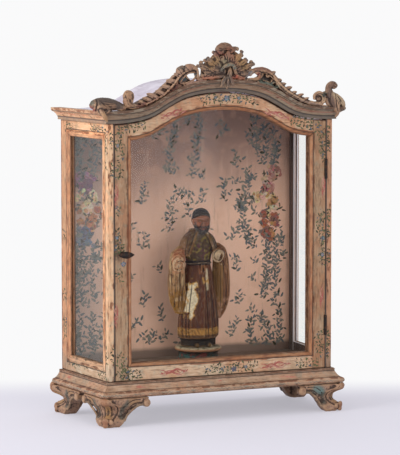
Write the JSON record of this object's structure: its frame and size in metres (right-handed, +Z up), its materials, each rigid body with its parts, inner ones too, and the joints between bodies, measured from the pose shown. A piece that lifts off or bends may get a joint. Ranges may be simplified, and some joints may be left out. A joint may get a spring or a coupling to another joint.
{
  "type": "glazed shrine case",
  "caption": "Painted wooden shrine case with an arched glazed door, glazed sides, a carved foliate crest, bracket feet and a robed figurine inside.",
  "frame": {"origin": "centre of the bounding box's base, on the plane the feet stand on", "axes": "+Z up; the door faces -Y; +X to the right as one faces the door"},
  "size_m": [0.5291, 0.2288, 0.6932],
  "materials": {
    "painted_frame": "worn cream paint with painted sprays, on wood",
    "painted_moulding": "worn beige and grey paint on moulded wood",
    "carved_wood": "carved wood with worn umber and ochre paint",
    "back": "dusty pink painted board with sprigs of flowers",
    "floor": "matt grey board",
    "roof": "matt pale paint",
    "glass": "clear old window glass",
    "iron": "dark worn iron",
    "robe": "painted and gilded carved wood",
    "mantle": "painted and gilded carved wood, flaked",
    "head": "painted carved wood",
    "plinth": "painted turned wood"
  },
  "bodies": {
    "case": {"foot_front_left": "carved_wood", "foot_front_right": "carved_wood", "foot_back_left": "carved_wood", "foot_back_right": "carved_wood", "base_moulding_front": "painted_moulding", "base_moulding_left": "painted_moulding", "base_moulding_right": "painted_moulding", "base_rail_back": "back", "floor_board": "floor", "side_left_front_stile": "painted_frame", "side_left_back_stile": "painted_frame", "side_left_top_rail": "painted_frame", "side_left_bottom_rail": "painted_frame", "side_left_glass": "glass", "side_right_front_stile": "painted_frame", "side_right_back_stile": "painted_frame", "side_right_top_rail": "painted_frame", "side_right_bottom_rail": "painted_frame", "side_right_glass": "glass", "back_board": "back", "door_header": "painted_frame", "roof_board": "roof", "cornice_front": "painted_moulding", "cornice_left": "painted_moulding", "cornice_right": "painted_moulding", "crest_shell": "carved_wood", "crest_left_scroll": "carved_wood", "crest_right_scroll": "carved_wood", "crest_corner_left": "carved_wood", "crest_corner_right": "carved_wood", "hinge_lower_case_leaf": "iron", "hinge_lower_pin": "iron", "hinge_upper_case_leaf": "iron", "hinge_upper_pin": "iron", "figure_plinth": "plinth", "figure_robe": "robe", "figure_cape": "mantle", "figure_head": "head", "figure_mantle_left": "mantle", "figure_mantle_right": "mantle"},
    "door": {"door_left_stile": "painted_frame", "door_right_stile": "painted_frame", "door_top_rail": "painted_frame", "door_bottom_rail": "painted_frame", "door_glass": "glass", "lock_case": "iron", "hinge_lower_door_leaf": "iron", "hinge_upper_door_leaf": "iron"},
    "thumb_turn": {"thumb_turn": "iron"},
    "lock_bolt": {"lock_bolt": "iron"}
  },
  "joints": [
    {"name": "door_hinge", "type": "hinge", "parent": "case", "child": "door", "pos_m": [0.21256, -0.08811, 0.311], "axis": [0, 0, 1], "range_deg": [0, 115]},
    {"name": "thumb_turn_spin", "type": "hinge", "parent": "door", "child": "thumb_turn", "pos_m": [-0.19767, -0.07811, 0.313], "axis": [0, -1, 0], "range_deg": [0, 90]},
    {"name": "bolt_slide", "type": "slide", "parent": "door", "child": "lock_bolt", "axis": [-1, 0, 0], "range_m": [0, 0.006]}
  ],
  "couplings": [
    {"joint": "bolt_slide", "follows": "thumb_turn_spin", "m_per_rad": 0.003819}
  ]
}
